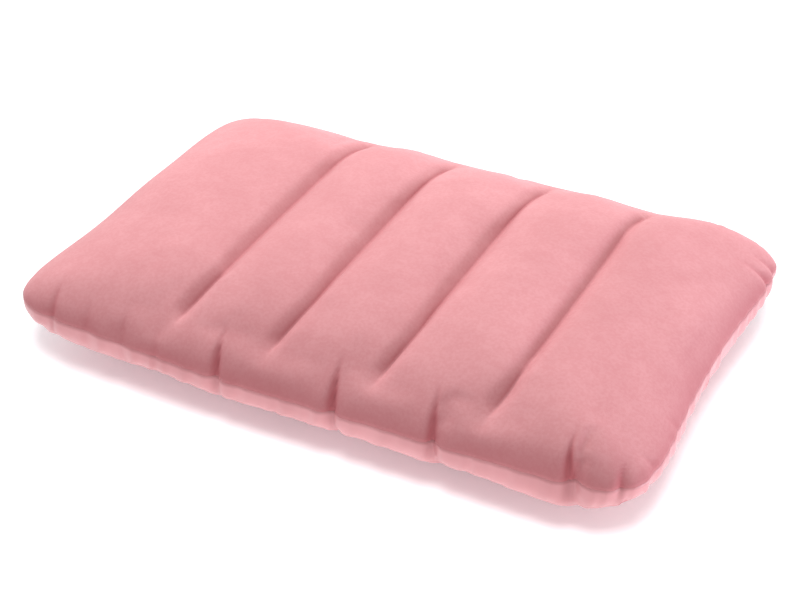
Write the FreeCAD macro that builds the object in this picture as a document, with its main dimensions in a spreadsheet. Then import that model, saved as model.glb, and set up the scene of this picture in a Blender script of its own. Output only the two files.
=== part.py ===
import FreeCAD, Part
import Sketcher
import math
import os

# An inflatable camp pillow: a flocked top panel and a plain bottom panel welded round their rims,
# four beam webs between them, and a push-in mouth valve low on the left end.
# Millimetres: +X along the length, +Y across the width, +Z up, and the origin under the middle
# of the pillow, on the surface that it rests on.

DIMENSIONS = {
    # the inflated pillow
    "PillowLength": 430.0,
    "PillowWidth": 286.0,
    "PillowHeight": 90.0,
    "SeamHeight": 45.0,
    "CornerRadius": 56.0,
    "EdgeRadius": 43.0,
    "TopFilm": 0.55,
    "BottomFilm": 0.45,
    "SeamMargin": 6.0,
    # how the film falls from its highest line to the rim
    "SideCrownRadius": 150.0,
    "SideCrownStart": 50.0,
    "EndCrownRadius": 125.0,
    "EndCrownStart": 132.0,
    # the grooves that the webs pull into the film
    "WebPitch": 70.5,
    "WebOffset": 14.0,
    "WebLength": 204.0,
    "WebFilm": 0.35,
    "WebTab": 5.0,
    "GrooveDepth": 10.0,
    "GrooveLand": 6.0,
    # the valve's place: a flat on the bottom panel, facing outward and down
    "ValveTilt": 30.0,
    "ValveFlat": 40.5,
    # the valve moulding
    "FlangeRadius": 12.0,
    "FlangeFilm": 0.8,
    "HoleRadius": 8.6,
    "LipRadius": 9.2,
    "LipHeight": 1.6,
    "MouthRadius": 8.0,
    "NeckRadius": 5.6,
    "CollarWall": 0.5,
    "StemLength": 15.0,
    "StemProud": 0.5,
    "StemRadius": 4.6,
    "StemBore": 3.2,
    "StemRing": 1.0,
    "StemRim": 5.2,
    "PlugHeadRadius": 6.2,
    "PlugHeadFilm": 1.4,
    "PlugShankRadius": 3.1,
    "PlugShankLength": 7.0,
    "PlugWall": 0.9,
    "PlugGap": 0.1,
    "PullTabLength": 7.0,
    "PullTabFilm": 1.1,
    "PullTabHeight": 1.8,
    "StrapWidth": 3.0,
    "StrapFilm": 0.5,
    "StrapRise": 7.4,
    "StrapReach": 9.9,
    "FlapRadius": 4.2,
    "FlapFilm": 0.4,
    "FlapTab": 1.2,
}
WEB_COUNT = 4
X, Y, Z = FreeCAD.Vector(1, 0, 0), FreeCAD.Vector(0, 1, 0), FreeCAD.Vector(0, 0, 1)

doc = FreeCAD.newDocument("CampPillow")
sheet = doc.addObject("Spreadsheet::Sheet", "Dims")
for row, (alias, size) in enumerate(DIMENSIONS.items(), start=1):
    sheet.set(f"A{row}", alias)
    sheet.set(f"B{row}", str(size))
    sheet.setAlias(f"B{row}", alias)
doc.recompute()


class Measure:
    """A length worked out from the sheet: its expression, and the value that it has now."""

    def __init__(self, text, value):
        self.text = text
        self.value = value

    def joined(self, sign, other, value):
        text = other.text if isinstance(other, Measure) else str(other)
        return Measure(f"({self.text} {sign} {text})", value)

    def __add__(self, other):
        return self.joined("+", other, self.value + number(other))

    def __sub__(self, other):
        return self.joined("-", other, self.value - number(other))

    def __mul__(self, other):
        return self.joined("*", other, self.value * number(other))

    def __truediv__(self, other):
        return self.joined("/", other, self.value / number(other))

    def __neg__(self):
        return Measure(f"(0 - {self.text})", -self.value)


def number(measure):
    return measure.value if isinstance(measure, Measure) else measure


def dim(alias):
    """A dimension of the sheet."""
    return Measure(f"Dims.{alias}", sheet.get(alias))


def root(measure):
    return Measure(f"sqrt{measure.text}", math.sqrt(measure.value))


def turned(function, alias):
    """The sine or cosine of an angle of the sheet, which holds it in degrees."""
    radians = math.radians(sheet.get(alias))
    return Measure(f"{function}(Dims.{alias} * 1deg)", getattr(math, function)(radians))


def bind(thing, path, measure):
    thing.setExpression(path, measure.text)


def plane(body, role):
    return next(part for part in body.Origin.OriginFeatures if part.Role == role)


def new_body(name):
    body = doc.addObject("PartDesign::Body", name)
    body.Label = name
    return body


def profile(body, name, role, corners, arcs=None):
    """A closed sketch on one of the body's planes. Its corners are pairs of measures; arcs gives
    the radius of the arc that leaves a corner, and the side of the chord that its centre is on."""
    arcs = arcs or {}
    sketch = body.newObject("Sketcher::SketchObject", name)
    sketch.AttachmentSupport = (plane(body, role), "")
    sketch.MapMode = "FlatFace"
    places = [FreeCAD.Vector(number(x), number(y), 0) for x, y in corners]
    ends = []
    for index, start in enumerate(places):
        stop = places[(index + 1) % len(places)]
        if index not in arcs:
            ends.append((sketch.addGeometry(Part.LineSegment(start, stop), False), 1, 2))
            continue
        radius, side = arcs[index]
        chord = stop - start
        across = FreeCAD.Vector(-chord.y, chord.x, 0).normalize() * side
        reach = math.sqrt(number(radius) ** 2 - (chord.Length / 2) ** 2)
        centre = start + chord / 2 + across * reach
        angles = [math.atan2(point.y - centre.y, point.x - centre.x) for point in (start, stop)]
        circle = Part.Circle(centre, Z, number(radius))
        if side > 0:
            ends.append((sketch.addGeometry(Part.ArcOfCircle(circle, *angles), False), 1, 2))
        else:
            ends.append((sketch.addGeometry(Part.ArcOfCircle(circle, *angles[::-1]), False), 2, 1))
        rule = sketch.addConstraint(Sketcher.Constraint("Radius", ends[-1][0], number(radius)))
        bind(sketch, f"Constraints[{rule}]", radius)
    for index, (x, y) in enumerate(corners):
        edge, first, _ = ends[index]
        before, _, last = ends[index - 1]
        sketch.addConstraint(Sketcher.Constraint("Coincident", before, last, edge, first))
        for kind, along in (("DistanceX", x), ("DistanceY", y)):
            rule = sketch.addConstraint(
                Sketcher.Constraint(kind, -1, 1, edge, first, number(along)))
            if isinstance(along, Measure):
                bind(sketch, f"Constraints[{rule}]", along)
    return sketch


def pad(body, name, sketch, length, midplane=False):
    feature = body.newObject("PartDesign::Pad", name)
    feature.Profile = sketch
    feature.Midplane = midplane
    bind(feature, "Length", length)
    doc.recompute()
    return feature


def carve(body, name, sketch):
    """Cut a profile right through the body, and check that the cut takes something away."""
    before = body.Shape.Volume
    feature = body.newObject("PartDesign::Pocket", name)
    feature.Profile = sketch
    feature.Type = "ThroughAll"
    feature.Midplane = True
    doc.recompute()
    if feature.Shape.Volume >= before:
        raise RuntimeError(f"{name} cuts nothing")
    return feature


def revolved(body, name, corners):
    """Turn a closed profile, given as radius and height, round the body's own Z axis."""
    sketch = profile(body, f"{name}_profile", "XZ_Plane", corners)
    feature = body.newObject("PartDesign::Revolution", name)
    feature.Profile = sketch
    feature.ReferenceAxis = (plane(body, "Z_Axis"), [""])
    feature.Angle = 360
    doc.recompute()
    return feature


def mirrored(body, name, feature, role):
    mirror = body.newObject("PartDesign::Mirrored", name)
    mirror.Originals = [feature]
    mirror.MirrorPlane = (plane(body, role), [""])
    body.Tip = mirror
    doc.recompute()
    return mirror


def crown(body, name, role, half, start, radius, rise):
    """Round the body down from a line at start to the rim, on both sides of the middle."""
    edge = half + 5
    low = rise - radius + root(radius * radius - (edge - start) * (edge - start))
    corners = [(start, rise), (edge, low), (edge, rise + 5), (start, rise + 5)]
    cut = carve(body, name, profile(body, f"{name}_profile", role, corners, {0: (radius, -1)}))
    mirrored(body, f"{name}_mirror", cut, "XZ_Plane" if role == "YZ_Plane" else "YZ_Plane")


def half_pillow(name, film, ends, flat):
    """One half of the pillow as a solid standing on the seam's plane, moved in by a thickness of
    film: a rounded slab, crowned at the sides, and at the ends too for the upper half, with the
    grooves of the webs, and for the lower half the flat that carries the valve."""
    body = new_body(name)
    half_length = dim("PillowLength") / 2 - film
    half_width = dim("PillowWidth") / 2 - film
    rise = dim("PillowHeight") - dim("SeamHeight") - film
    corners = [(half_length, half_width), (-half_length, half_width),
               (-half_length, -half_width), (half_length, -half_width)]
    slab = pad(body, f"{name}_slab", profile(body, f"{name}_outline", "XY_Plane", corners), rise)
    uprights = [f"Edge{index}" for index, edge in enumerate(slab.Shape.Edges, start=1)
                if abs(edge.tangentAt(edge.FirstParameter).z) > 0.9]
    corner = body.newObject("PartDesign::Fillet", f"{name}_corners")
    corner.Base = (slab, uprights)
    bind(corner, "Radius", dim("CornerRadius") - film)
    doc.recompute()
    rims = [f"Edge{index}" for index, edge in enumerate(corner.Shape.Edges, start=1)
            if edge.BoundBox.ZMin > number(rise) - 0.01]
    brim = body.newObject("PartDesign::Fillet", f"{name}_brim")
    brim.Base = (corner, rims)
    bind(brim, "Radius", dim("EdgeRadius") - film)
    doc.recompute()
    crown(body, f"{name}_side", "YZ_Plane", half_width, dim("SideCrownStart"),
          dim("SideCrownRadius") - film, rise)
    if ends:
        crown(body, f"{name}_end", "XZ_Plane", half_length, dim("EndCrownStart"),
              dim("EndCrownRadius") - film, rise)
    # one groove at the left, repeated along the pillow
    middle = dim("WebOffset") - dim("WebPitch") * (WEB_COUNT - 1) / 2
    reach = dim("WebPitch") / 2
    land = dim("GrooveLand") / 2
    run = reach - land
    depth = dim("GrooveDepth")
    lobe = (run * run + depth * depth) / (depth * 2)
    floor = rise - depth
    corners = [(middle - reach, rise), (middle - land, floor), (middle + land, floor),
               (middle + reach, rise), (middle + reach, rise + 5), (middle - reach, rise + 5)]
    groove = carve(body, f"{name}_groove",
                   profile(body, f"{name}_groove_profile", "XZ_Plane", corners,
                           {0: (lobe, -1), 2: (lobe, -1)}))
    pattern = body.newObject("PartDesign::LinearPattern", f"{name}_grooves")
    pattern.Originals = [groove]
    pattern.Direction = (plane(body, "X_Axis"), [""])
    pattern.Occurrences = WEB_COUNT
    bind(pattern, "Length", dim("WebPitch") * (WEB_COUNT - 1))
    body.Tip = pattern
    doc.recompute()
    if flat:
        centre_x, centre_z = valve_place(film)
        along = turned("sin", "ValveTilt") * 40, turned("cos", "ValveTilt") * 40
        far = -dim("PillowLength")
        corners = [(centre_x + along[0], centre_z + along[1]), (far, centre_z + along[1]),
                   (far, centre_z - along[1]), (centre_x - along[0], centre_z - along[1])]
        carve(body, f"{name}_flat", profile(body, f"{name}_flat_profile", "XZ_Plane", corners))
    return body


def valve_place(film):
    """The middle of the valve's flat, along the pillow and away from the seam's plane."""
    out = dim("ValveFlat") - film
    centre = -(dim("PillowLength") / 2 - dim("EdgeRadius"))
    height = dim("PillowHeight") - dim("SeamHeight") - dim("EdgeRadius")
    return centre - turned("cos", "ValveTilt") * out, height + turned("sin", "ValveTilt") * out


def rim_margin(name, film):
    """The welded margin inside the rim, as a flat frame lying on the seam's plane."""
    blocks = []
    for part, inset in (("outer", film * 0.5), ("inner", film * 0.5 + dim("SeamMargin"))):
        box = doc.addObject("Part::Box", f"{name}_{part}_slab")
        bind(box, "Length", dim("PillowLength") - inset * 2)
        bind(box, "Width", dim("PillowWidth") - inset * 2)
        bind(box, "Height", film)
        bind(box, "Placement.Base.x", inset - dim("PillowLength") / 2)
        bind(box, "Placement.Base.y", inset - dim("PillowWidth") / 2)
        doc.recompute()
        rounded = doc.addObject("Part::Fillet", f"{name}_{part}")
        rounded.Base = box
        radius = sheet.get("CornerRadius") - number(inset)
        rounded.Edges = [(index, radius, radius)
                         for index, edge in enumerate(box.Shape.Edges, start=1)
                         if abs(edge.tangentAt(edge.FirstParameter).z) > 0.9]
        blocks.append(rounded)
    frame = doc.addObject("Part::Cut", name)
    frame.Base, frame.Tool = blocks
    doc.recompute()
    return frame


def panel(name, film, ends, flat):
    """A panel of film: the outer half less the inner half, with its welded margin."""
    outer = half_pillow(f"{name}_outside", film * 0, ends, flat)
    inner = half_pillow(f"{name}_inside", film, ends, flat)
    shell = doc.addObject("Part::Cut", f"{name}_shell")
    shell.Base, shell.Tool = outer, inner
    whole = doc.addObject("Part::Fuse", f"{name}_whole")
    whole.Base, whole.Tool = shell, rim_margin(f"{name}_margin", film)
    doc.recompute()
    return whole


def at_valve(part):
    """Stand a part on the valve's flat, with its own Z pointing out of the pillow."""
    centre_x, centre_z = valve_place(dim("BottomFilm") * 0)
    bind(part, "Placement.Base.x", centre_x)
    bind(part, "Placement.Base.z", dim("SeamHeight") - centre_z)
    part.Placement.Rotation = FreeCAD.Rotation(Y, 0)
    bind(part, "Placement.Rotation.Angle", -(dim("ValveTilt") + 90))


def top_panel():
    whole = panel("top", dim("TopFilm"), ends=True, flat=False)
    bind(whole, "Placement.Base.z", dim("SeamHeight"))
    return whole


def bottom_panel():
    """The lower half, turned over, with the round hole that the valve passes through."""
    film = dim("BottomFilm")
    whole = panel("bottom", film, ends=False, flat=True)
    whole.Placement.Rotation = FreeCAD.Rotation(X, 180)
    bind(whole, "Placement.Base.z", dim("SeamHeight"))
    hole = doc.addObject("Part::Cylinder", "valve_hole")
    bind(hole, "Radius", dim("HoleRadius"))
    bind(hole, "Height", dim("FlangeRadius") * 2)
    at_valve(hole)
    centre_x, centre_z = valve_place(dim("FlangeRadius"))
    bind(hole, "Placement.Base.x", centre_x)
    bind(hole, "Placement.Base.z", dim("SeamHeight") - centre_z)
    pierced = doc.addObject("Part::Cut", "bottom_pierced")
    pierced.Base, pierced.Tool = whole, hole
    return pierced


def rib_web(index):
    """A beam of film standing across the pillow, with a tab welded under each groove."""
    body = new_body(f"rib_web_{index}")
    film = dim("WebFilm")
    top_z = dim("PillowHeight") - dim("GrooveDepth") - dim("TopFilm")
    low_z = dim("GrooveDepth") + dim("BottomFilm")
    tab, stem = dim("WebTab") / 2, film / 2
    right = [(tab, low_z), (tab, low_z + film), (stem, low_z + film),
             (stem, top_z - film), (tab, top_z - film), (tab, top_z)]
    left = [(-x, z) for x, z in reversed(right)]
    sketch = profile(body, f"web_{index}_profile", "XZ_Plane", right + left)
    pad(body, f"web_{index}_beam", sketch, dim("WebLength"), midplane=True)
    place = dim("WebOffset") + dim("WebPitch") * (index - (WEB_COUNT + 1) / 2)
    bind(body, "Placement.Base.x", place)
    return body


def valve_base():
    """The welded flange inside the film, and the lip of the mouth that shows outside it."""
    body = new_body("valve_base")
    under = -dim("BottomFilm")
    back = under - dim("FlangeFilm")
    mouth, hole, lip = dim("MouthRadius"), dim("HoleRadius"), dim("LipRadius")
    revolved(body, "base", [
        (mouth, back), (dim("FlangeRadius"), back), (dim("FlangeRadius"), under), (hole, under),
        (hole, 0), (lip, 0), (lip, dim("LipHeight")), (mouth, dim("LipHeight"))])
    return body


def valve_collar():
    """The thin neck that rolls inside out as the stem is pushed in or pulled out."""
    body = new_body("valve_collar")
    mouth, neck, wall = dim("MouthRadius"), dim("NeckRadius"), dim("CollarWall")
    foot = dim("StemProud") - dim("StemLength") + wall / 4
    revolved(body, "collar", [
        (mouth, -wall / 2), (mouth, -wall * 2), (neck + wall, foot + wall), (neck, foot),
        (neck, foot + wall), (mouth - wall, -wall * 2), (mouth - wall, -wall / 2)])
    return body


def valve_stem():
    """The tube that is blown into, with a ring at its foot and a rim at its mouth."""
    body = new_body("valve_stem")
    top_z = dim("StemProud")
    low_z = top_z - dim("StemLength")
    ring = dim("StemRing")
    tube, rim, neck, bore = dim("StemRadius"), dim("StemRim"), dim("NeckRadius"), dim("StemBore")
    revolved(body, "stem", [
        (bore, low_z), (neck, low_z), (neck, low_z + ring), (tube, low_z + ring),
        (tube, top_z - ring), (rim, top_z - ring), (rim, top_z), (bore, top_z)])
    return body


def valve_flap():
    """A disc of film lying on the stem's inner end, hung from a tab at one side."""
    body = new_body("valve_flap")
    low_z = dim("StemProud") - dim("StemLength") - dim("FlapFilm")
    disc = body.newObject("PartDesign::AdditiveCylinder", "flap_disc")
    bind(disc, "Radius", dim("FlapRadius"))
    bind(disc, "Height", dim("FlapFilm"))
    bind(disc, "Placement.Base.z", low_z)
    doc.recompute()
    half = dim("StrapWidth") / 2
    tab = body.newObject("PartDesign::AdditiveBox", "flap_tab")
    bind(tab, "Length", dim("FlapTab") * 2)
    bind(tab, "Width", half * 2)
    bind(tab, "Height", dim("FlapFilm"))
    bind(tab, "Placement.Base.x", -(dim("FlapRadius") + dim("FlapTab")))
    bind(tab, "Placement.Base.y", -half)
    bind(tab, "Placement.Base.z", low_z)
    return body


def valve_plug():
    """The cap: a domed head on the rim, a hollow shank in the bore, and a fin to pull it by."""
    body = new_body("valve_plug")
    seat = dim("StemProud") + dim("PlugGap")
    top_z = seat + dim("PlugHeadFilm")
    head, shank, wall = dim("PlugHeadRadius"), dim("PlugShankRadius"), dim("PlugWall")
    foot = seat - dim("PlugShankLength")
    revolved(body, "plug", [
        (0, top_z), (head - wall, top_z), (head, top_z - wall), (head, seat), (shank, seat),
        (shank, foot + wall), (shank - wall / 3, foot), (shank - wall, foot),
        (shank - wall, seat), (0, seat)])
    half = dim("PullTabLength") / 2
    crest = top_z + dim("PullTabHeight")
    fin = profile(body, "fin_profile", "XZ_Plane", [
        (-half, top_z - wall / 2), (half, top_z - wall / 2), (half - wall, crest),
        (-half + wall, crest)])
    pad(body, "fin", fin, dim("PullTabFilm"), midplane=True)
    return body


def valve_strap():
    """The tether: up from the stem's rim, out over the lip, and folded back onto the plug."""
    body = new_body("valve_strap")
    film, reach, rise_x = dim("StrapFilm"), dim("StrapReach"), dim("StrapRise")
    rim, root_z = dim("StemRim"), dim("StemProud") - film
    head_z = dim("StemProud") + dim("PlugGap") + dim("PlugHeadFilm")
    foot_x = dim("PlugHeadRadius") - dim("PlugWall")
    leg_z = dim("LipHeight") + film / 2
    back_z = leg_z + film * 2
    loop = profile(body, "strap_profile", "XZ_Plane", [
        (rim - film, root_z), (rise_x, root_z), (rise_x, leg_z), (reach, leg_z),
        (reach, back_z + film), (foot_x - film, back_z + film), (foot_x - film, head_z),
        (foot_x, head_z), (foot_x, back_z), (reach - film, back_z), (reach - film, leg_z + film),
        (rise_x - film, leg_z + film), (rise_x - film, root_z + film),
        (rim - film, root_z + film)])
    strip = pad(body, "strap_strip", loop, dim("StrapWidth"), midplane=True)
    trim = body.newObject("PartDesign::Groove", "strap_trim")
    trim.Profile = profile(body, "strap_trim_profile", "XZ_Plane", [
        (0, -rim), (rim, -rim), (rim, root_z + film * 1.2), (0, root_z + film * 1.2)])
    trim.ReferenceAxis = (plane(body, "Z_Axis"), [""])
    trim.Angle = 360
    doc.recompute()
    if trim.Shape.Volume >= strip.Shape.Volume:
        raise RuntimeError("the strap's trim cuts nothing")
    return body


def export(parts):
    """Check every object of the document, then write each sub-part under its own name."""
    doc.recompute()
    failed = [thing.Name for thing in doc.Objects
              if "Invalid" in thing.State or "Error" in thing.State]
    if failed:
        raise RuntimeError(f"failed objects: {failed}")
    for name, part in parts.items():
        if part.Shape.isNull() or not part.Shape.isValid() or len(part.Shape.Solids) != 1:
            raise RuntimeError(f"{name} is not one valid solid")
    os.makedirs("parts", exist_ok=True)
    for name, part in parts.items():
        part.Label = name
        part.Shape.exportStep(f"parts/{name}.step")
        box = part.Shape.BoundBox
        print(f"{name}: {part.Shape.Volume:.1f} mm3, {part.Shape.Area:.0f} mm2, "
              f"x {box.XMin:.2f}..{box.XMax:.2f}, y {box.YMin:.2f}..{box.YMax:.2f}, "
              f"z {box.ZMin:.2f}..{box.ZMax:.2f}")


sub_parts = {"top_panel": top_panel(), "bottom_panel": bottom_panel()}
for index in range(1, WEB_COUNT + 1):
    sub_parts[f"rib_web_{index}"] = rib_web(index)
for build in (valve_base, valve_collar, valve_stem, valve_flap, valve_plug, valve_strap):
    sub_parts[build.__name__] = build()
for name in list(sub_parts)[-6:]:
    at_valve(sub_parts[name])
export(sub_parts)
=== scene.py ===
import bpy
import bmesh
import math
import numpy as np
from mathutils import Matrix, Vector
from mathutils.bvhtree import BVHTree


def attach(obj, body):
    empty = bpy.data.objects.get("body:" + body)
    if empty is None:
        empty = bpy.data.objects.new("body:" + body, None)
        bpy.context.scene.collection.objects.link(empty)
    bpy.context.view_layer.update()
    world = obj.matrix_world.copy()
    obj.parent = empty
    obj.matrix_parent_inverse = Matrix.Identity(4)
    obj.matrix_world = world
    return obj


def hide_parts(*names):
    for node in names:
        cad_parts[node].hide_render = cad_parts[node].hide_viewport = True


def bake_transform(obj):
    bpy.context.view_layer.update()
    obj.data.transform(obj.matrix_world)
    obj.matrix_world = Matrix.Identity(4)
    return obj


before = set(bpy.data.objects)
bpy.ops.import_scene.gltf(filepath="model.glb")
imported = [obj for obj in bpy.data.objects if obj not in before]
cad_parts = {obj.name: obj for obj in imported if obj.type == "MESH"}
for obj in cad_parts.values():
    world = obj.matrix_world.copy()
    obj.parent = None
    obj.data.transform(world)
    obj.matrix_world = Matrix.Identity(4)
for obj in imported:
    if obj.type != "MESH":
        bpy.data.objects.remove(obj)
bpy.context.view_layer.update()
print("frame loaded")


def deselectAll():
    if bpy.context.object and bpy.context.object.mode != "OBJECT":
        bpy.ops.object.mode_set(mode="OBJECT")
    bpy.ops.object.select_all(action="DESELECT")


def makeActive(obj):
    deselectAll()
    obj.select_set(True)
    bpy.context.view_layer.objects.active = obj


def applyModifier(obj, kind, **settings):
    makeActive(obj)
    modifier = obj.modifiers.new(kind.title(), kind)
    for name, value in settings.items():
        setattr(modifier, name, value)
    bpy.ops.object.modifier_apply(modifier=modifier.name)


def points(obj):
    co = np.empty(len(obj.data.vertices) * 3)
    obj.data.vertices.foreach_get("co", co)
    return co.reshape(-1, 3)


def setPoints(obj, co):
    obj.data.vertices.foreach_set("co", np.ascontiguousarray(co, dtype=np.float32).ravel())
    obj.data.update()


def smoothStep(value, low, high):
    t = np.clip((value - low) / (high - low), 0, 1)
    return t * t * (3 - 2 * t)


def paint(obj, name, values):
    attribute = obj.data.attributes.get(name) or obj.data.attributes.new(name, "FLOAT", "POINT")
    attribute.data.foreach_set("value", np.ascontiguousarray(values, dtype=np.float32))


# the inflated film: both panels blown up together as one cloth
pillow = {
    "length": 0.430, "width": 0.286, "height": 0.088,
    "outlinePower": 10.0,  # how square the corners are
    "fullness": 3.2,  # how quickly the film falls off to the rim
    "startRise": 0.036,  # height of each half before it is blown up
    "leastRise": 0.0008,  # what keeps the two halves apart inside the rim
    "mostSlack": 1.3, "halvings": 40, "arcSteps": 8001,
    "cell": 0.0047, "fineCell": 0.0021, "fineReach": 0.006, "densitySteps": 400,
    "weld": 0.0001,
    "webs": (-0.0860, -0.0215, 0.0483, 0.1198),  # places of the webs along the slack film
    "webHalf": 0.127,
    # half the height of a web against its distance from the pillow's middle
    "webProfile": ([0, 0.090, 0.102, 0.110, 0.119, 0.128],
                   [0.0352, 0.0350, 0.0338, 0.0286, 0.0225, 0.0172]),
    # the front ends of the grooves swing left
    "webCurl": 0.0085, "curlAcross": (0.070, 0.134), "curlAlong": 0.70,
    "grooveDepth": 0.010, "grooveReach": 0.035, "fadeBefore": 0.012, "fadeAfter": 0.008,
    "pressure": 6.0, "stiffness": 40.0, "shearShare": 0.5, "bending": 0.05, "damping": 25.0,
    "airDamping": 2, "weight": 0.3, "quality": 8, "frames": 11,
    # the dents that start the pleats: width, share of the pleat's depth, and where they begin
    "frontSeed": 0.004, "endSeed": 0.005, "seedShare": 0.3,
    "seedFrom": 0.6, "frontFrom": 0.5, "endFrom": 0.7,
    # pleats at the front seam: place along the pillow, depth, half width, how far they reach up
    "frontPleats": [(-0.176, 0.0022, 0.0030, 0.016), (-0.150, 0.0012, 0.0030, 0.014),
                    (-0.124, 0.0012, 0.0030, 0.016), (-0.100, 0.0009, 0.0030, 0.016),
                    (-0.057, 0.0048, 0.0030, 0.021), (0.022, 0.0056, 0.0032, 0.022),
                    (0.087, 0.0048, 0.0032, 0.022), (0.172, 0.0052, 0.0032, 0.021),
                    (0.201, 0.0026, 0.0026, 0.011)],
    # and at the ends: place across the pillow, which end, depth, half width, reach
    "endPleats": [(-0.109, 1, 0.0008, 0.0030, 0.010), (0.098, 1, 0.0024, 0.0030, 0.018),
                  (0.112, 1, 0.0016, 0.0030, 0.014), (-0.070, 1, 0.0008, 0.0030, 0.010)],
}


def arcTable(half, rise):
    # distance along the half profile against distance from the middle
    t = np.linspace(0, 1, pillow["arcSteps"])
    h = rise * np.sqrt(np.clip(1 - t ** pillow["fullness"], 0, 1))
    run = np.r_[0, np.cumsum(np.hypot(np.diff(t * half), np.diff(h)))]
    return run, t * half


def slackHalf(half, rise, flatter):
    # the half size that the same film has at a flatter rise
    target = arcTable(half, rise)[0][-1]
    low, high = half, half * pillow["mostSlack"]
    for step in range(pillow["halvings"]):
        middle = (low + high) / 2
        if arcTable(middle, flatter)[0][-1] < target:
            low = middle
        else:
            high = middle
    return low


def spacedColumns(half, rise, marks, fine):
    run, x = arcTable(half, rise)
    stops = [-run[-1]] + [math.copysign(np.interp(abs(m), x, run), m) for m in marks] + [run[-1]]
    finePlaces = [math.copysign(np.interp(abs(m), x, run), m) for m in fine]
    out = []
    for first, last in zip(stops[:-1], stops[1:]):
        # a density that rises near the pleats, stepped through evenly
        s = np.linspace(first, last, pillow["densitySteps"])
        size = np.full_like(s, pillow["cell"])
        for place in finePlaces:
            near = np.exp(-((s - place) / pillow["fineReach"]) ** 2)
            size = np.minimum(size, pillow["cell"] + (pillow["fineCell"] - pillow["cell"]) * near)
        count = np.r_[0, np.cumsum(np.diff(s) / ((size[1:] + size[:-1]) / 2))]
        steps = max(1, round(count[-1]))
        out += list(np.interp(np.linspace(0, count[-1], steps + 1)[:-1], count, s))
    out.append(stops[-1])
    return np.array([math.copysign(np.interp(abs(v), run, x), v) for v in out])


halfLength = slackHalf(pillow["length"] / 2, pillow["height"] / 2, pillow["startRise"])
halfWidth = slackHalf(pillow["width"] / 2, pillow["height"] / 2, pillow["startRise"])
stretchX = halfLength / (pillow["length"] / 2)
stretchY = halfWidth / (pillow["width"] / 2)
grooves = [place * stretchX for place in pillow["webs"]]
pleatPlaces = [p[0] * stretchX for p in pillow["frontPleats"]]
columnsX = spacedColumns(halfLength, pillow["startRise"], grooves, grooves + pleatPlaces)
columnsY = spacedColumns(halfWidth, pillow["startRise"], [0.0], [])
countX, countY = len(columnsX) - 1, len(columnsY) - 1


def startForm(i, j):
    # a grid point on the rounded outline's own family of rings, and its height
    x, y = columnsX[i], columnsY[j]
    a, b = np.abs(x) / halfLength, np.abs(y) / halfWidth
    ring = np.maximum(np.maximum(a, b), 1e-6)
    power = pillow["outlinePower"]
    pull = 1 + (ring / (a ** power + b ** power + 1e-12) ** (1 / power) - 1) * ring ** 3
    x, y = x * pull, y * pull
    rho = ((np.abs(x) / halfLength) ** power + (np.abs(y) / halfWidth) ** power) ** (1 / power)
    height = pillow["startRise"] * np.sqrt(np.clip(1 - np.minimum(rho, 1) ** pillow["fullness"], 0, 1))
    nearest = np.min([np.abs(x - g) for g in grooves], axis=0)
    lobe = np.clip(1 - nearest / (pillow["grooveReach"] * stretchX), 0, 1) ** 2
    fade = 1 - smoothStep(np.abs(y), (pillow["webHalf"] - pillow["fadeBefore"]) * stretchY,
                          (pillow["webHalf"] + pillow["fadeAfter"]) * stretchY)
    height = height - pillow["grooveDepth"] * lobe * fade * height / (pillow["height"] / 2)
    rim = (i == 0) | (i == countX) | (j == 0) | (j == countY)
    height = np.where(rim, 0, np.maximum(height, pillow["leastRise"]))
    curl = smoothStep(-y / stretchY, *pillow["curlAcross"])
    x = x - pillow["webCurl"] * curl * (1 - smoothStep(np.abs(x) / halfLength, pillow["curlAlong"], 1))
    start, share = smoothStep(rho, pillow["seedFrom"], 1), pillow["seedShare"]
    for place, depth, *rest in pillow["frontPleats"]:
        near = np.exp(-((x - place * stretchX) / pillow["frontSeed"]) ** 2) * start
        y = y - np.sign(y) * np.where(np.abs(y) > halfWidth * pillow["frontFrom"], depth * share * near, 0)
    for place, end, depth, *rest in pillow["endPleats"]:
        near = np.exp(-((y - place * stretchY) / pillow["endSeed"]) ** 2) * start
        x = x - end * np.where(x * end > halfLength * pillow["endFrom"], depth * share * near, 0)
    return np.c_[x, y, height]


def halfSheet(name, side):
    deselectAll()
    bpy.ops.mesh.primitive_grid_add(x_subdivisions=countX, y_subdivisions=countY, size=2)
    obj = bpy.context.object
    obj.name = name
    co = points(obj)
    i = np.rint((co[:, 0] + 1) / 2 * countX).astype(int)
    j = np.rint((co[:, 1] + 1) / 2 * countY).astype(int)
    shaped = startForm(i, j)
    shaped[:, 2] *= side
    setPoints(obj, shaped)
    paint(obj, "column", i)
    paint(obj, "row", j)
    if side < 0:
        bpy.ops.object.mode_set(mode="EDIT")
        bpy.ops.mesh.select_all(action="SELECT")
        bpy.ops.mesh.flip_normals()
        bpy.ops.object.mode_set(mode="OBJECT")
    return obj


topSheet = halfSheet("topSheet", 1)
lowSheet = halfSheet("lowSheet", -1)
print("grid", countX, countY, "points", len(points(topSheet)))
for sheetObj, label in ((topSheet, "topFilm"), (lowSheet, "lowFilm")):
    sheetObj.data.materials.append(bpy.data.materials.new(label))
makeActive(topSheet)
lowSheet.select_set(True)
bpy.ops.object.join()
balloon = topSheet
bpy.ops.object.mode_set(mode="EDIT")
bpy.ops.mesh.select_all(action="SELECT")
bpy.ops.mesh.remove_doubles(threshold=pillow["weld"])
bpy.ops.object.mode_set(mode="OBJECT")

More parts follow.
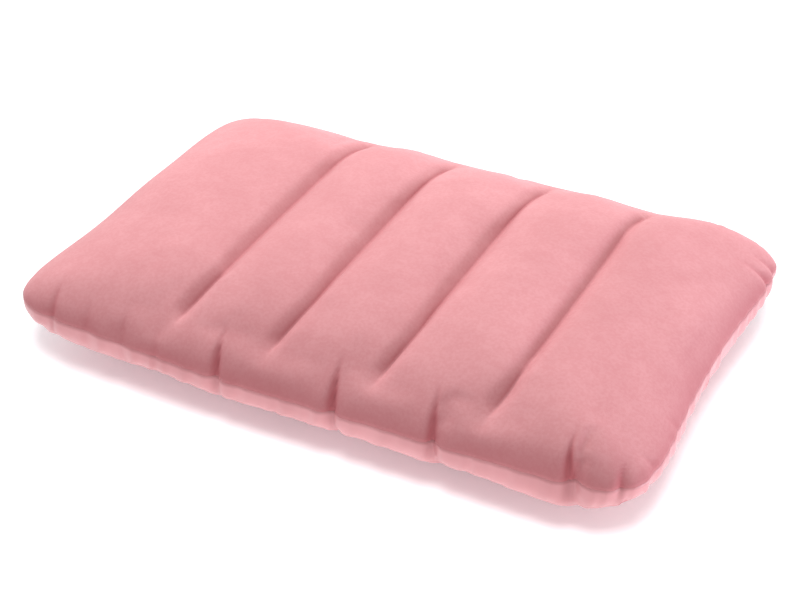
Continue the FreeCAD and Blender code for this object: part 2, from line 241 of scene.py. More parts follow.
# each web is a row of slack threads from groove to groove, folded flat until the air lifts it
grid = {}
columnOf = np.array([a.value for a in balloon.data.attributes["column"].data]).round().astype(int)
rowOf = np.array([a.value for a in balloon.data.attributes["row"].data]).round().astype(int)
co = points(balloon)
for index in range(len(co)):
    grid[columnOf[index], rowOf[index], co[index, 2] >= 0] = index
grooveColumns = [int(np.abs(columnsX - g).argmin()) for g in grooves]
mesh = bmesh.new()
mesh.from_mesh(balloon.data)
corners = list(mesh.verts)
webRows = []
for column in grooveColumns:
    before = None
    rows = []
    for row in range(1, countY):
        high, low = grid[column, row, True], grid[column, row, False]
        if abs(columnsY[row]) > pillow["webHalf"] * stretchY:
            continue
        x, y, z = co[high]
        tall = np.interp(abs(columnsY[row]) / stretchY, *pillow["webProfile"])
        side = math.sqrt(max(0, tall ** 2 - z * z))
        fold = mesh.verts.new((x + side, y, 0))
        mesh.edges.new((corners[high], fold))
        mesh.edges.new((fold, corners[low]))
        if before:
            mesh.edges.new((before, fold))
        before = fold
        rows.append((high, low))
    webRows.append(rows)
mesh.to_mesh(balloon.data)
mesh.free()

makeActive(balloon)
cloth = balloon.modifiers.new("Air", "CLOTH")
cloth.settings.quality = pillow["quality"]
cloth.settings.mass = pillow["weight"]
for kind in ("tension", "compression", "shear"):
    share = pillow["shearShare"] if kind == "shear" else 1
    setattr(cloth.settings, f"{kind}_stiffness", pillow["stiffness"] * share)
    setattr(cloth.settings, f"{kind}_damping", pillow["damping"])
cloth.settings.bending_stiffness = pillow["bending"]
cloth.settings.air_damping = pillow["airDamping"]
cloth.settings.use_pressure = True
cloth.settings.uniform_pressure_force = pillow["pressure"]
cloth.settings.effector_weights.gravity = 0
cloth.collision_settings.use_collision = False
cloth.point_cache.frame_start = 1
cloth.point_cache.frame_end = pillow["frames"]
for frameNumber in range(1, pillow["frames"] + 1):
    bpy.context.scene.frame_set(frameNumber)
bpy.ops.object.modifier_apply(modifier="Air")
bpy.context.scene.frame_set(1)
print("blown up to", np.ptp(points(balloon)[:len(columnOf)], axis=0).round(4))

# brought to the pillow's size, and laid on the floor
resting = {
    "seam": 0.048, "seamTilt": 0.004,  # the seam's height, and its rise towards the right end
    # how far the seam climbs into the front left corner, and where the climb starts and ends
    "cornerLift": 0.0085, "liftAlong": (0.03, 0.19), "liftAcross": (0.03, 0.125),
    # how far the ends draw in between their corners: the left one only above the seam
    "leftDraw": 0.006, "rightDraw": 0.006, "drawAlong": (0.12, 0.21), "drawAcross": (0.02, 0.125),
    "drawUp": 0.03,
    "lowBulge": 0.003, "topTaper": 0.003, "bulgeReach": 0.034, "bulgeFrom": (0.6, 0.9),
    "sink": 0.0012, "sinkReach": 3,  # how far the lobes flatten on the floor
    "outlineSpread": 0.07, "outlineSteps": 721, "outlineFrom": (0.45, 0.95),
    # the ends' film is evened out over endSpread, fading in along the pillow and out across it
    "endSpread": 0.026, "shortLine": 8, "calmAlong": (0.135, 0.170), "calmAcross": (0.078, 0.124),
}


def seamHeight(co):
    # the height of the seam above the floor at each point's place in the plan
    lift = smoothStep(-co[:, 0], *resting["liftAlong"]) * smoothStep(-co[:, 1], *resting["liftAcross"])
    tilt = resting["seamTilt"] * co[:, 0] / (pillow["length"] / 2)
    return resting["seam"] + tilt + resting["cornerLift"] * lift


def outwardFrom(co):
    # the direction out of the pillow's plan at each point, and how near to the rim it is
    power = pillow["outlinePower"]
    halfX, halfY = pillow["length"] / 2, pillow["width"] / 2
    a, b = np.abs(co[:, 0]) / halfX, np.abs(co[:, 1]) / halfY
    rho = (a ** power + b ** power) ** (1 / power)
    out = np.c_[np.sign(co[:, 0]) * a ** (power - 1) / halfX,
                np.sign(co[:, 1]) * b ** (power - 1) / halfY]
    return out / (np.linalg.norm(out, axis=1)[:, None] + 1e-12), rho


def trueOutline(co):
    # brings the rim back to the pillow's outline, and leaves its pleats
    onRim = np.flatnonzero((columnOf == 0) | (columnOf == countX) | (rowOf == 0) | (rowOf == countY))
    halves = np.array([pillow["length"] / 2, pillow["width"] / 2])
    turn = np.arctan2(*(co[:, :2] / halves).T[::-1])
    rho = outwardFrom(co)[1]
    places = np.linspace(-np.pi, np.pi, resting["outlineSteps"])
    gap = np.abs(places[:, None] - turn[onRim][None, :])
    gap = np.minimum(gap, 2 * np.pi - gap)
    weight = np.exp(-(gap / resting["outlineSpread"]) ** 2)
    reach = (weight * rho[onRim]).sum(1) / weight.sum(1)
    factor = 1 / np.interp(turn, places, reach) - 1
    co[:, :2] *= (1 + factor * smoothStep(rho, *resting["outlineFrom"]))[:, None]
    return co


def calmEnds(co):
    # the film at both ends, evened out across the pillow, where the short runs had buckled
    upper = co[:len(columnOf), 2] >= 0
    for onTop in (True, False):
        for column in range(countX + 1):
            line = np.flatnonzero((columnOf == column) & ((upper == onTop) | (column in (0, countX))))
            short = len(line) < resting["shortLine"]
            if short or abs(np.median(co[line, 0])) < resting["calmAlong"][0]:
                continue
            line = line[np.argsort(co[line, 1])]
            y = co[line, 1]
            weight = np.exp(-((y[:, None] - y[None, :]) / resting["endSpread"]) ** 2)
            # a straight line fitted around each point
            apart = y[None, :] - y[:, None]
            sums = [(weight * apart ** power).sum(1)[:, None] for power in range(3)]
            level, slope = weight @ co[line], (weight * apart) @ co[line]
            even = (sums[2] * level - sums[1] * slope) / (sums[0] * sums[2] - sums[1] ** 2)
            share = smoothStep(np.abs(co[line, 0]), *resting["calmAlong"])
            share = share * (1 - smoothStep(np.abs(y), *resting["calmAcross"]))
            for axis in (0, 2):
                co[line, axis] += (even[:, axis] - co[line, axis]) * share
    return co


def layDown(co, count):
    panel = co[:count]
    middle = (panel.max(0) + panel.min(0)) / 2
    size = np.array([pillow["length"], pillow["width"], pillow["height"]])
    co = (co - middle) * size / np.ptp(panel, axis=0)
    co = trueOutline(calmEnds(trueOutline(co)))
    leftDraw = resting["leftDraw"] * smoothStep(co[:, 2], 0, resting["drawUp"])
    draw = np.where(co[:, 0] > 0, resting["rightDraw"], leftDraw)
    draw = draw * smoothStep(np.abs(co[:, 0]), *resting["drawAlong"])
    draw = draw * (1 - smoothStep(np.abs(co[:, 1]), *resting["drawAcross"]))
    co[:, 0] -= np.sign(co[:, 0]) * draw
    half = pillow["height"] / 2
    out, rho = outwardFrom(co)
    wave = np.sin(np.pi * np.clip(np.abs(co[:, 2]) / resting["bulgeReach"], 0, 1))
    push = np.where(co[:, 2] > 0, -resting["topTaper"], resting["lowBulge"]) * wave
    co[:, :2] += out * (push * smoothStep(rho, *resting["bulgeFrom"]))[:, None]
    seam = seamHeight(co)
    above = seam + co[:, 2] * (pillow["height"] - seam) / half
    below = seam + co[:, 2] * seam / half
    co[:, 2] = np.where(co[:, 2] > 0, above, below)
    low = np.clip(1 - co[:, 2] / (resting["sinkReach"] * resting["sink"]), 0, None)
    co[:, 2] = np.maximum(co[:, 2] + resting["sink"] * low ** 2, 0)
    return co


co = layDown(points(balloon), len(columnOf))
co[:, 2] -= co[:len(columnOf), 2].min()
setPoints(balloon, co)

# the two panels as real film, and how steeply it stands where its walls begin and where they are full, for
# the painted shade on the walls
film = {"top": 0.00055, "low": 0.00045, "crease": 0.85, "rimCrease": 0.6, "renderLevels": 1,
        "wall": (0.04, 0.60)}

makeActive(balloon)
creases = balloon.data.attributes.new("crease_edge", "FLOAT", "EDGE")
ends = np.empty(len(balloon.data.edges) * 2, dtype=int)
balloon.data.edges.foreach_get("vertices", ends)
ends = ends.reshape(-1, 2)
panelCount = len(columnOf)
values = np.zeros(len(ends), dtype=np.float32)
inPanel = (ends < panelCount).all(axis=1)
a, b = ends[inPanel].T
rim = (np.isin(columnOf, (0, countX)) | np.isin(rowOf, (0, countY)))
alongGroove = (columnOf[a] == columnOf[b]) & np.isin(columnOf[a], grooveColumns)
alongGroove &= np.abs(columnsY[rowOf[a]]) < pillow["webHalf"] * stretchY
values[inPanel] = np.where(alongGroove, film["crease"], np.where(rim[a] & rim[b], film["rimCrease"], 0))
creases.data.foreach_set("value", values)
# the points of each groove, above and below, from the front of the pillow to the back
webLines = [[np.array([co[pair[side]] for pair in rows]) for side in (0, 1)] for rows in webRows]
bpy.ops.object.mode_set(mode="EDIT")
bpy.ops.mesh.select_all(action="SELECT")
bpy.ops.mesh.delete_loose()
bpy.ops.mesh.separate(type="MATERIAL")
bpy.ops.object.mode_set(mode="OBJECT")
halves = [obj for obj in bpy.context.selected_objects if obj.type == "MESH"]
topPanel = max(halves, key=lambda obj: points(obj)[:, 2].max())
lowPanel = min(halves, key=lambda obj: points(obj)[:, 2].min())
topPanel.name, lowPanel.name = "flockedTopPanel", "plainBottomPanel"


def smoothPanel(obj):
    makeActive(obj)
    modifier = obj.modifiers.new("Smooth", "SUBSURF")
    modifier.levels = modifier.render_levels = film["renderLevels"]
    modifier.boundary_smooth = "ALL"
    bpy.ops.object.modifier_apply(modifier="Smooth")
    bpy.ops.object.shade_smooth()


pinch = {
    "lean": -0.25,  # how far a pleat drifts along the pillow as it climbs
    "sharpness": 1.4, "narrowing": 0.5, "fade": (0.3, 1.15),
    "swell": 0.24, "swellWidth": 3.0,
    "drop": 0.3, "dropReach": 0.03,
    "fullDepth": 0.003,  # the depth at which a pleat's shade is full
    "sideFrom": 0.3, "endFrom": 0.4,
    "rearSpacing": 0.94, "rearShift": 0.009, "rearDepth": 0.45,  # the back's pleats, against the front's
    "grooveDepth": 0.0034, "grooveWidth": 0.0080, "grooveEnd": 0.118, "grooveFade": 0.016,
    "grooveSharpness": 1.3,
}


def pinchPleats(obj):
    # a sharp valley across the seam at each pleat, with a small swell on both sides of it
    co = points(obj)
    out, rho = outwardFrom(co)
    rise = co[:, 2] - seamHeight(co)
    depth = np.zeros(len(co))

    def pleat(along, nearby, deep, spread, reach):
        across = along - pinch["lean"] * np.maximum(rise, 0)
        first, last = pinch["fade"]
        above = 1 - smoothStep(rise, reach * first, reach * last)
        fade = np.where(rise > 0, above, np.exp(-(rise / reach) ** 2))
        narrow = spread * (1 - pinch["narrowing"] * smoothStep(rise, 0, reach))
        swell = pinch["swell"] * np.exp(-(across / (narrow * pinch["swellWidth"])) ** 2)
        valley = np.exp(-np.abs(across / narrow) ** pinch["sharpness"])
        return np.where(nearby, deep * (valley - swell) * fade, 0)

    side, end = pillow["width"] * pinch["sideFrom"], pillow["length"] * pinch["endFrom"]
    for place, deep, spread, reach in pillow["frontPleats"]:
        depth += pleat(co[:, 0] - place, co[:, 1] < -side, deep, spread, reach)
        rear = place * pinch["rearSpacing"] + pinch["rearShift"]
        depth += pleat(co[:, 0] - rear, co[:, 1] > side, deep * pinch["rearDepth"], spread, reach)
    for place, way, deep, spread, reach in pillow["endPleats"]:
        depth += pleat(co[:, 1] - place, co[:, 0] * way > end, deep, spread, reach)
    co[:, :2] -= out * depth[:, None]
    co[:, 2] -= np.maximum(depth, 0) * smoothStep(rise, 0, pinch["dropReach"]) * pinch["drop"]
    # the pleat's depth, kept as a mask for the painted shade in the pleats
    paint(obj, "pleat", np.clip(depth / pinch["fullDepth"], 0, 1))
    setPoints(obj, co)


# ripples as length, height and start, and how they wander along the seam
puckers = {"waves": [(0.0131, 0.00046, 0.4), (0.0087, 0.00030, 2.1), (0.0221, 0.00042, 1.1)],
           "wander": ((0.004, 0.017), (0.003, 0.011)), "rim": (0.85, 0.95),
           "above": 0.004, "middle": -0.012, "below": 0.010}


def puckerSeam(obj):
    # fine ripples that the weld draws into the film, strongest just under the seam
    co = points(obj)
    out, rho = outwardFrom(co)
    rise = co[:, 2] - seamHeight(co)
    low = (np.minimum(rise, 0) - puckers["middle"]) / puckers["below"]
    fade = np.exp(-low ** 2) * np.exp(-(np.maximum(rise, 0) / puckers["above"]) ** 2)
    along = co[:, 0] + co[:, 1]
    for axis, (sway, length) in enumerate(puckers["wander"]):
        along = along + sway * np.sin(co[:, axis] / length)
    push = np.zeros(len(co))
    for length, height, start in puckers["waves"]:
        push += height * np.sin(2 * math.pi * along / length + start)
    co[:, :2] += out * (push * fade * smoothStep(rho, *puckers["rim"]))[:, None]
    setPoints(obj, co)


def pinchGrooves(obj, lines, side):
    # the weld line of each web, pressed in a little more sharply than the air leaves it
    co = points(obj)
    depth = np.zeros(len(co))
    for line in lines:
        middle = np.interp(co[:, 1], line[:, 1], line[:, 0])
        across = np.abs(co[:, 0] - middle) / pinch["grooveWidth"]
        fade = 1 - smoothStep(np.abs(co[:, 1]), pinch["grooveEnd"] - pinch["grooveFade"],
                              pinch["grooveEnd"] + pinch["grooveFade"])
        depth += np.clip(1 - across, 0, 1) ** pinch["grooveSharpness"] * fade
    co[:, 2] -= side * depth * pinch["grooveDepth"]
    # the groove's depth, kept as a mask for the painted shade along the weld lines
    paint(obj, "groove", np.clip(depth, 0, 1))
    setPoints(obj, co)


def paintWallShade(obj):
    # how steeply the film stands, kept as a mask for the painted shade on the walls
    normal = np.empty(len(obj.data.vertices) * 3)
    obj.data.vertices.foreach_get("normal", normal)
    steep = 1 - np.abs(normal.reshape(-1, 3)[:, 2])
    paint(obj, "wall", smoothStep(steep, *film["wall"]))


def thicken(obj, thickness):
    applyModifier(obj, "SOLIDIFY", thickness=thickness, offset=-1, use_even_offset=False)


# the valve's place: the middle of its mouth, and the way it faces
valve = {
    "middle": Vector((-0.207074, 0, 0.02275)), "out": Vector((-0.866025, 0, -0.5)),
    "flat": 0.0120, "flatEnd": 0.0205, "hole": 0.0086, "holeSides": 96,
    "nearby": 0.02,  # how far from the mouth the film counts as the valve's
}


def flattenForValve(obj):
    co = points(obj)
    out = np.array(valve["out"])
    offset = co - np.array(valve["middle"])
    height = offset @ out
    reach = np.linalg.norm(offset - height[:, None] * out, axis=1)
    nearby = np.abs(height) < valve["nearby"]
    share = (1 - smoothStep(reach, valve["flat"], valve["flatEnd"])) * nearby
    co -= (height * share)[:, None] * out
    setPoints(obj, co)


def punchValveHole(obj):
    deselectAll()
    facing = valve["out"].to_track_quat("Z", "Y").to_euler()
    bpy.ops.mesh.primitive_cylinder_add(vertices=valve["holeSides"], radius=valve["hole"],
                                        depth=valve["nearby"], location=valve["middle"], rotation=facing)
    cutter = bpy.context.object
    applyModifier(obj, "BOOLEAN", operation="DIFFERENCE", object=cutter, solver="EXACT")
    bpy.data.objects.remove(cutter)


for obj, thickness, side in ((topPanel, film["top"], 1), (lowPanel, film["low"], -1)):
    smoothPanel(obj)
    pinchPleats(obj)
    puckerSeam(obj)
    pinchGrooves(obj, [high if side > 0 else low for high, low in webLines], side)
    if side < 0:
        flattenForValve(obj)
    paintWallShade(obj)
    thicken(obj, thickness)
    if side < 0:
        punchValveHole(obj)
    print(obj.name, len(obj.data.polygons), "faces")
for obj, node in ((topPanel, "top_panel"), (lowPanel, "bottom_panel")):
    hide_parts(node)
    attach(obj, "pillow")

# beam webs: film strips from groove to groove, with a welded tab along both edges
web = {"film": 0.00035, "tab": 0.0045, "gap": 0.0004, "rowsAcross": 12,
       "light": (0.66, 0.33, 0.35), "dark": (0.60, 0.28, 0.30)}


def beamWeb(index, trees):
    high, low = webLines[index]
    steps = len(high) - 1
    deselectAll()
    bpy.ops.mesh.primitive_grid_add(x_subdivisions=steps, y_subdivisions=web["rowsAcross"], size=2)
    strip = bpy.context.object
    strip.name = f"beamWeb{index + 1}"
    co = points(strip)
    along = np.rint((co[:, 0] + 1) / 2 * steps).astype(int)
    across = np.rint((co[:, 1] + 1) / 2 * web["rowsAcross"]).astype(int)
    last = web["rowsAcross"]
    middle = resting["seam"]
    shaped = np.zeros_like(co)
    for k in range(len(co)):
        a = high[along[k]]
        # the first and last two rows are the tabs
        tab = {0: 1.0, 1: 0.5, last - 1: 0.5, last: 1.0}.get(across[k], 0) * web["tab"]
        x, y = a[0] + tab, a[1]
        ends = []
        for tree, way in ((trees[0], 1), (trees[1], -1)):
            place = tree.ray_cast(Vector((x, y, middle)), Vector((0, 0, way)))[0]
            ends.append(place.z - way * web["gap"])
        share = np.clip((across[k] - 2) / (last - 4), 0, 1)
        shaped[k] = (x, y, ends[1] + (ends[0] - ends[1]) * share)
    setPoints(strip, shaped)
    thicken(strip, web["film"])
    makeActive(strip)
    bpy.ops.object.shade_smooth()
    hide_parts(f"rib_web_{index + 1}")
    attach(strip, "pillow")
    return strip


trees = []
for obj in (topPanel, lowPanel):
    shape = bmesh.new()
    shape.from_mesh(obj.data)
    trees.append(BVHTree.FromBMesh(shape))
    shape.free()
beamWebs = [beamWeb(index, trees) for index in range(len(webLines))]
print("webs done")

# the valve's soft pieces
softValve = {
    # radius and height at both ends of the folding collar
    "mouth": (0.0080, -0.00025), "neck": (0.0056, -0.0144), "wall": 0.0005,
    "sides": 72, "cuts": 15, "ripple": 0.00018, "ripples": 4,
    "strapWidth": 0.0030, "strapFilm": 0.0005, "strapSteps": 48, "strapRows": 4,
    "soften": (0.5, 6), "edge": (0.00012, 2), "bend": (0.0005, 0.0029),
    # the strap's line in millimetres: out from the valve's axis, and up from its mouth
    "strapRoute": [(4.7, 0.25), (5.6, 0.25), (6.6, 0.30), (7.15, 0.85), (7.45, 1.6),
                   (8.1, 2.10), (9.2, 2.15), (9.75, 2.55), (9.3, 3.05), (8.1, 3.15),
                   (6.8, 3.10), (5.8, 2.85), (5.2, 2.35), (4.5, 2.20)],
}
valveTurn = Matrix((Vector((-0.5, 0, 0.866025)), Vector((0, -1, 0)), valve["out"])).transposed()


def valveCollar():
    # the thin neck that folds as the stem is pulled out
    (wide, top), (narrow, bottom) = softValve["mouth"], softValve["neck"]
    deselectAll()
    bpy.ops.mesh.primitive_cone_add(vertices=softValve["sides"], radius1=narrow, radius2=wide,
                                    depth=top - bottom, end_fill_type="NOTHING",
                                    location=(0, 0, (top + bottom) / 2))
    collar = bpy.context.object
    collar.name = "foldingCollar"
    bpy.ops.object.transform_apply(location=True, rotation=True, scale=True)
    bpy.ops.object.mode_set(mode="EDIT")
    bpy.ops.mesh.select_all(action="SELECT")
    bpy.ops.mesh.subdivide(number_cuts=softValve["cuts"])
    bpy.ops.object.mode_set(mode="OBJECT")
    co = points(collar)
    share = (co[:, 2] - bottom) / (top - bottom)
    radius = np.hypot(co[:, 0], co[:, 1])
    even = narrow + (wide - narrow) * share
    ripple = np.sin(share * math.pi * 2 * softValve["ripples"]) * np.sin(share * math.pi)
    co[:, :2] *= ((even + softValve["ripple"] * ripple) / radius)[:, None]
    setPoints(collar, co @ np.array(valveTurn).T + np.array(valve["middle"]))
    thicken(collar, softValve["wall"])
    makeActive(collar)
    bpy.ops.object.shade_smooth()
    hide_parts("valve_collar")
    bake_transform(collar)
    return collar


def valveStrap():
    # the little strap that keeps the stopper with the stem
    route = np.array(softValve["strapRoute"]) / 1000
    run = np.r_[0, np.cumsum(np.linalg.norm(np.diff(route, axis=0), axis=1))]
    deselectAll()
    bpy.ops.mesh.primitive_grid_add(x_subdivisions=softValve["strapSteps"],
                                    y_subdivisions=softValve["strapRows"], size=2)
    strap = bpy.context.object
    strap.name = "stopperStrap"
    co = points(strap)
    place = (co[:, 0] + 1) / 2 * run[-1]
    x, z = (np.interp(place, run, route[:, axis]) for axis in (0, 1))
    flat = np.c_[x, co[:, 1] / 2 * softValve["strapWidth"], z]
    setPoints(strap, flat @ np.array(valveTurn).T + np.array(valve["middle"]))
    factor, rounds = softValve["soften"]
    applyModifier(strap, "SMOOTH", factor=factor, iterations=rounds)
    thicken(strap, softValve["strapFilm"])
    width, segments = softValve["edge"]
    applyModifier(strap, "BEVEL", width=width, segments=segments, limit_method="ANGLE")
    makeActive(strap)
    bpy.ops.object.shade_smooth()
    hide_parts("valve_strap")
    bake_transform(strap)
    return strap


collar, strap = valveCollar(), valveStrap()
print("valve pieces done")


class Wire:
    # one output in a material's nodes, with plain arithmetic
    def __init__(self, tree, source):
        self.tree, self.source = tree, source

    def math(self, operation, first, second):
        node = self.tree.nodes.new("ShaderNodeMath")
        node.operation = operation
        for socket, value in zip(node.inputs, (first, second)):
            if isinstance(value, Wire):
                self.tree.links.new(value.source, socket)
            else:
                socket.default_value = value
        return Wire(self.tree, node.outputs[0])

    def __add__(self, other):
        return self.math("ADD", self, other)

    def __radd__(self, other):
        return self.math("ADD", other, self)

    def __mul__(self, other):
        return self.math("MULTIPLY", self, other)

    def __rmul__(self, other):
        return self.math("MULTIPLY", other, self)

    def __pow__(self, other):
        return self.math("POWER", self, other)

    def __rpow__(self, other):
        return self.math("POWER", other, self)


class Finish:
    # a material and its nodes
    def __init__(self, name):
        self.material = bpy.data.materials.new(name)
        self.material.use_nodes = True
        self.tree = self.material.node_tree
        self.shader = self.tree.nodes["Principled BSDF"]

    def node(self, kind, settings=None, inputs=None, output=0):
        node = self.tree.nodes.new(f"ShaderNode{kind}")
        for name, value in (settings or {}).items():
            setattr(node, name, value)
        for name, value in (inputs or {}).items():
            if isinstance(value, Wire):
                self.tree.links.new(value.source, node.inputs[name])
            else:
                node.inputs[name].default_value = value
        return Wire(self.tree, node.outputs[output])

    def noise(self, scale, detail, roughness, stretch=(1, 1, 1)):
        place = self.node("TexCoord", output="Object")
        place = self.node("Mapping", inputs={"Vector": place, "Scale": stretch})
        return self.node("TexNoise", inputs={"Vector": place, "Scale": scale, "Detail": detail,
                                             "Roughness": roughness})

    def mix(self, factor, first, second):
        # the colour sockets of a Mix node are 6, 7 and 2, after those for numbers and vectors
        first, second = (c if isinstance(c, Wire) else (*c, 1) for c in (first, second))
        return self.node("Mix", {"data_type": "RGBA"}, {0: factor, 6: first, 7: second}, output=2)

    def ramp(self, wire, low, high):
        return self.node("MapRange", {"interpolation_type": "SMOOTHSTEP"},
                         {"Value": wire, "From Min": low, "From Max": high})

    def bump(self, height, strength, distance, **under):
        return self.node("Bump", inputs={"Height": height, "Strength": strength,
                                         "Distance": distance, **under})

    def attribute(self, name):
        return self.node("Attribute", {"attribute_name": name}, output="Fac")

    def feed(self, **inputs):
        for name, value in inputs.items():
            socket = self.shader.inputs[name.replace("_", " ")]
            if isinstance(value, Wire):
                self.tree.links.new(value.source, socket)
            else:
                socket.default_value = value
        return self.material


flock = {
    # deep is the colour of the darkest specks, and also the colour that the painted shade mixes towards
    "light": (0.552, 0.246, 0.259), "dark": (0.509, 0.217, 0.229), "deep": (0.42, 0.112, 0.126),
    # each pattern's size, detail and roughness
    "nap": (34, 5, 0.62), "stroke": (9, 2, 0.5), "grain": (1500, 2, 0.8),
    "speck": (480, 2, 0.6), "patch": (120, 2, 0.5),
    "contrast": (0.36, 0.64),
    "speckShare": 0.65, "patchShare": 0.35, "mottle": 0.20,
    # how strongly the painted shade darkens the pleats, the grooves and the walls
    "pleatShade": 0.65, "grooveShade": 0.28, "grooveEdge": 3, "wallShade": 0.54,
    "napBump": (0.10, 0.0008), "grainBump": (0.30, 0.0003),
    "roughness": 0.88, "specular": 0.25,
    "sheen": 0.22, "sheenRoughness": 0.40, "sheenTint": (1.0, 0.80, 0.82, 1),
}


def flockedVelour():
    # short flock: a fine grain, soft patches where the nap lies differently, and painted shade that
    # darkens the creases and walls
    make = Finish("flockedVelour")
    nap = make.noise(*flock["nap"])
    patches = make.ramp((nap + make.noise(*flock["stroke"])) * 0.5, *flock["contrast"])
    colour = make.mix(patches, flock["dark"], flock["light"])
    specks = make.noise(*flock["speck"]) * flock["speckShare"]
    specks = specks + make.noise(*flock["patch"]) * flock["patchShare"]
    colour = make.mix(make.ramp(specks, *flock["contrast"]) * flock["mottle"], colour, flock["deep"])
    # painted shade: the pleats, the grooves' weld lines and the steep walls mixed towards the deep colour
    shade = make.attribute("pleat") * flock["pleatShade"]
    shade = shade + make.attribute("groove") ** flock["grooveEdge"] * flock["grooveShade"]
    shade = shade + make.attribute("wall") * flock["wallShade"]
    colour = make.mix(shade, colour, flock["deep"])
    lying = make.bump(nap, *flock["napBump"])
    fibre = make.bump(make.noise(*flock["grain"]), *flock["grainBump"], Normal=lying)
    return make.feed(Base_Color=colour, Roughness=flock["roughness"], Normal=fibre,
                     Sheen_Weight=flock["sheen"], Sheen_Roughness=flock["sheenRoughness"],
                     Sheen_Tint=flock["sheenTint"], Specular_IOR_Level=flock["specular"])


vinyl = {
    # deep is the colour that the painted shade in the pleats mixes towards
    "light": (0.64, 0.272, 0.290), "dark": (0.57, 0.228, 0.244), "deep": (0.38, 0.108, 0.122),
    "cloud": (18, 3, 0.5), "wrinkle": (60, 2, 0.4), "peel": (900, 1, 0.5),
    "upright": (1, 1, 0.15),  # wrinkles run up the side
    "contrast": (0.35, 0.65), "pleatShade": 0.5,
    "wrinkleBump": (0.45, 0.0020), "peelBump": (0.05, 0.0002),
    "roughness": 0.36, "haze": 0.08, "hazeRange": (0.2, 0.8),
    "specular": 0.45, "coat": 0.10, "coatRoughness": 0.25,
}


def plainVinyl(name, light, dark):
    # smooth calendered film with a faint orange peel and soft creases running up the side
    make = Finish(name)
    cloud = make.noise(*vinyl["cloud"])
    colour = make.mix(make.ramp(cloud, *vinyl["contrast"]), dark, light)
    # painted shade in the pleats
    colour = make.mix(make.attribute("pleat") * vinyl["pleatShade"], colour, vinyl["deep"])
    shape = make.bump(make.noise(*vinyl["wrinkle"], stretch=vinyl["upright"]), *vinyl["wrinkleBump"])
    skin = make.bump(make.noise(*vinyl["peel"]), *vinyl["peelBump"], Normal=shape)
    gloss = make.ramp(cloud, *vinyl["hazeRange"]) * vinyl["haze"] + vinyl["roughness"]
    return make.feed(Base_Color=colour, Roughness=gloss, Normal=skin,
                     Specular_IOR_Level=vinyl["specular"], Coat_Weight=vinyl["coat"],
                     Coat_Roughness=vinyl["coatRoughness"])


moulded = {
    "light": (0.64, 0.285, 0.305), "dark": (0.59, 0.25, 0.27),
    "pale": (0.70, 0.52, 0.53), "paleDark": (0.66, 0.47, 0.48),
    "cloud": (160, 2, 0.5), "peel": (1400, 1, 0.5), "peelBump": (0.06, 0.0001),
    "contrast": (0.35, 0.65), "roughness": 0.31, "haze": 0.06, "hazeRange": (0.2, 0.8),
    "specular": 0.5, "coat": 0.2, "coatRoughness": 0.18,
}


def mouldedVinyl(name, light, dark):
    # the thicker, glossier vinyl of the valve, even all over but for a slight haze
    make = Finish(name)
    cloud = make.noise(*moulded["cloud"])
    colour = make.mix(make.ramp(cloud, *moulded["contrast"]), dark, light)
    skin = make.bump(make.noise(*moulded["peel"]), *moulded["peelBump"])
    gloss = make.ramp(cloud, *moulded["hazeRange"]) * moulded["haze"] + moulded["roughness"]
    return make.feed(Base_Color=colour, Roughness=gloss, Normal=skin,
                     Specular_IOR_Level=moulded["specular"], Coat_Weight=moulded["coat"],
                     Coat_Roughness=moulded["coatRoughness"])


def dress(obj, material):
    obj.data.materials.clear()
    obj.data.materials.append(material)


webFilm = plainVinyl("webFilm", web["light"], web["dark"])
valveVinyl = mouldedVinyl("valveVinyl", moulded["light"], moulded["dark"])
flapFilm = mouldedVinyl("flapFilm", moulded["pale"], moulded["paleDark"])
dress(topPanel, flockedVelour())
dress(lowPanel, plainVinyl("plainVinyl", vinyl["light"], vinyl["dark"]))
for piece in beamWebs:
    dress(piece, webFilm)
for piece in (collar, strap):
    dress(piece, valveVinyl)
for name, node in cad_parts.items():
    dress(node, flapFilm if name == "valve_flap" else valveVinyl)
print("finishes done")

# the camera's turn in degrees, and its focal length and shift in shares of frameWidth
view = {"azimuth": 25.0, "elevation": 35.1, "roll": 1.08, "distance": 1.2174, "focal": 1886.4,
        "target": (0.0261, -0.0017, 0.035), "shift": (-40.0, 5.7),
        "frameWidth": 800, "sensor": 36, "farthest": 50}


def placeCamera():
    az, el, roll = (math.radians(view[k]) for k in ("azimuth", "elevation", "roll"))
    back = Vector((math.sin(az) * math.cos(el), -math.cos(az) * math.cos(el), math.sin(el)))
    right = Vector((math.cos(az), math.sin(az), 0))
    up = back.cross(right)
    across = right * math.cos(roll) + up * math.sin(roll)
    upright = up * math.cos(roll) - right * math.sin(roll)
    place = Vector(view["target"]) + back * view["distance"]
    camera = bpy.data.objects.new("camera", bpy.data.cameras.new("camera"))
    bpy.context.collection.objects.link(camera)
    camera.matrix_world = Matrix(((across.x, upright.x, back.x, place.x),
                                  (across.y, upright.y, back.y, place.y),
                                  (across.z, upright.z, back.z, place.z), (0, 0, 0, 1)))
    camera.data.sensor_width = view["sensor"]
    camera.data.lens = view["focal"] / view["frameWidth"] * view["sensor"]
    camera.data.shift_x, camera.data.shift_y = (shift / view["frameWidth"] for shift in view["shift"])
    camera.data.clip_end = view["farthest"]
    bpy.context.scene.camera = camera


placeCamera()


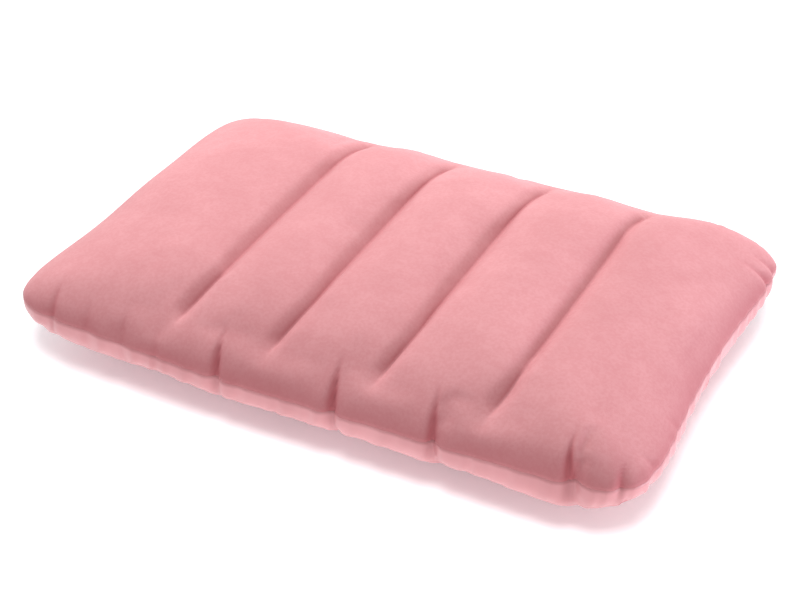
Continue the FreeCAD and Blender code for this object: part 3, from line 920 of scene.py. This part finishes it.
def softLight(name, place, aim, size, energy, colour):
    data = bpy.data.lights.new(name, "AREA")
    data.shape = "RECTANGLE"
    data.size, data.size_y = size
    data.energy = energy
    data.color = colour
    lamp = bpy.data.objects.new(name, data)
    bpy.context.collection.objects.link(lamp)
    lamp.location = place
    lamp.rotation_euler = (Vector(aim) - Vector(place)).to_track_quat("-Z", "Y").to_euler()
    return lamp


lights = {
    "sky": (1, 1, 1, 1), "skyStrength": 0.76,
    # the lamps' places, aims, sizes, watts and colours
    "key": ((-0.70, 1.15, 1.60), (0, 0, 0), (1.0, 1.0), 54, (1, 1, 1)),
    "table": ((0.45, -0.95, 1.9), (0, 0, 0), (0.6, 0.6), 34, (1, 1, 1)),
    "rim": ((1.4, 0.30, 0.15), (0.2, 0, 0.04), (0.7, 0.3), 11, (0.86, 0.86, 1.0)),
    "floorSize": 8, "floorColour": (0.93, 0.955, 0.96, 1), "floorGlow": (0.17, 0.175, 0.19, 1),
    "floorRoughness": 0.9, "floorSpecular": 0.1,
}


def stageSet():
    deselectAll()
    bpy.ops.mesh.primitive_plane_add(size=lights["floorSize"], location=(0, 0, 0))
    floor = bpy.context.object
    floor.name = "floor"
    make = Finish("paleFloor")
    # a lit table, so that shadows stay pale
    dress(floor, make.feed(Base_Color=lights["floorColour"], Roughness=lights["floorRoughness"],
                           Specular_IOR_Level=lights["floorSpecular"],
                           Emission_Color=lights["floorGlow"], Emission_Strength=1))
    world = bpy.data.worlds.new("softWorld")
    world.use_nodes = True
    sky = world.node_tree.nodes["Background"]
    sky.inputs["Color"].default_value = lights["sky"]
    sky.inputs["Strength"].default_value = lights["skyStrength"]
    bpy.context.scene.world = world
    # the key and rim light only the pillow, and the table's lamp only the table, so its shadow is short
    for name, state in (("key", "EXCLUDE"), ("rim", "EXCLUDE"), ("table", "INCLUDE")):
        lamp = softLight(name, *lights[name])
        lit = bpy.data.collections.new(f"{name}Lit")
        lit.objects.link(floor)
        lamp.light_linking.receiver_collection = lit
        lit.collection_objects[0].light_linking.link_state = state


stageSet()
bpy.context.scene.view_settings.view_transform = "Standard"
print("stage done")
